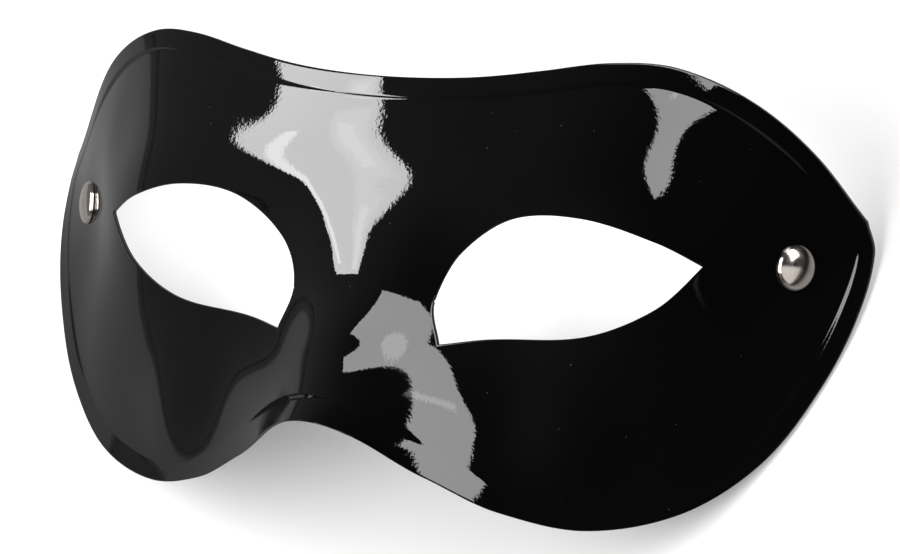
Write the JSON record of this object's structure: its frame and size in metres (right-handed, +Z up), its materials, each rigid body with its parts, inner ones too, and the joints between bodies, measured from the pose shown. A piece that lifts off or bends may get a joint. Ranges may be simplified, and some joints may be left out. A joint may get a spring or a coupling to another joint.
{
  "type": "masquerade eye mask",
  "caption": "Moulded glossy half mask that covers the eyes, brow and cheeks, with shaped eye holes, a nose arch and domed metal rivets at the temples.",
  "frame": {"origin": "on the surface that the mask lies on, under the middle of its box", "axes": "+X across the face to the viewer's right, +Y towards the forehead, +Z up from the table, out of the face that lies upwards"},
  "size_m": [0.1756, 0.086, 0.0634],
  "materials": {
    "gloss_black": "high gloss, with a faint orange peel",
    "polished_nickel": "polished, slightly warm"
  },
  "bodies": {
    "root": {"mask_shell": "gloss_black", "rivet_left": "polished_nickel", "rivet_right": "polished_nickel"}
  },
  "joints": []
}
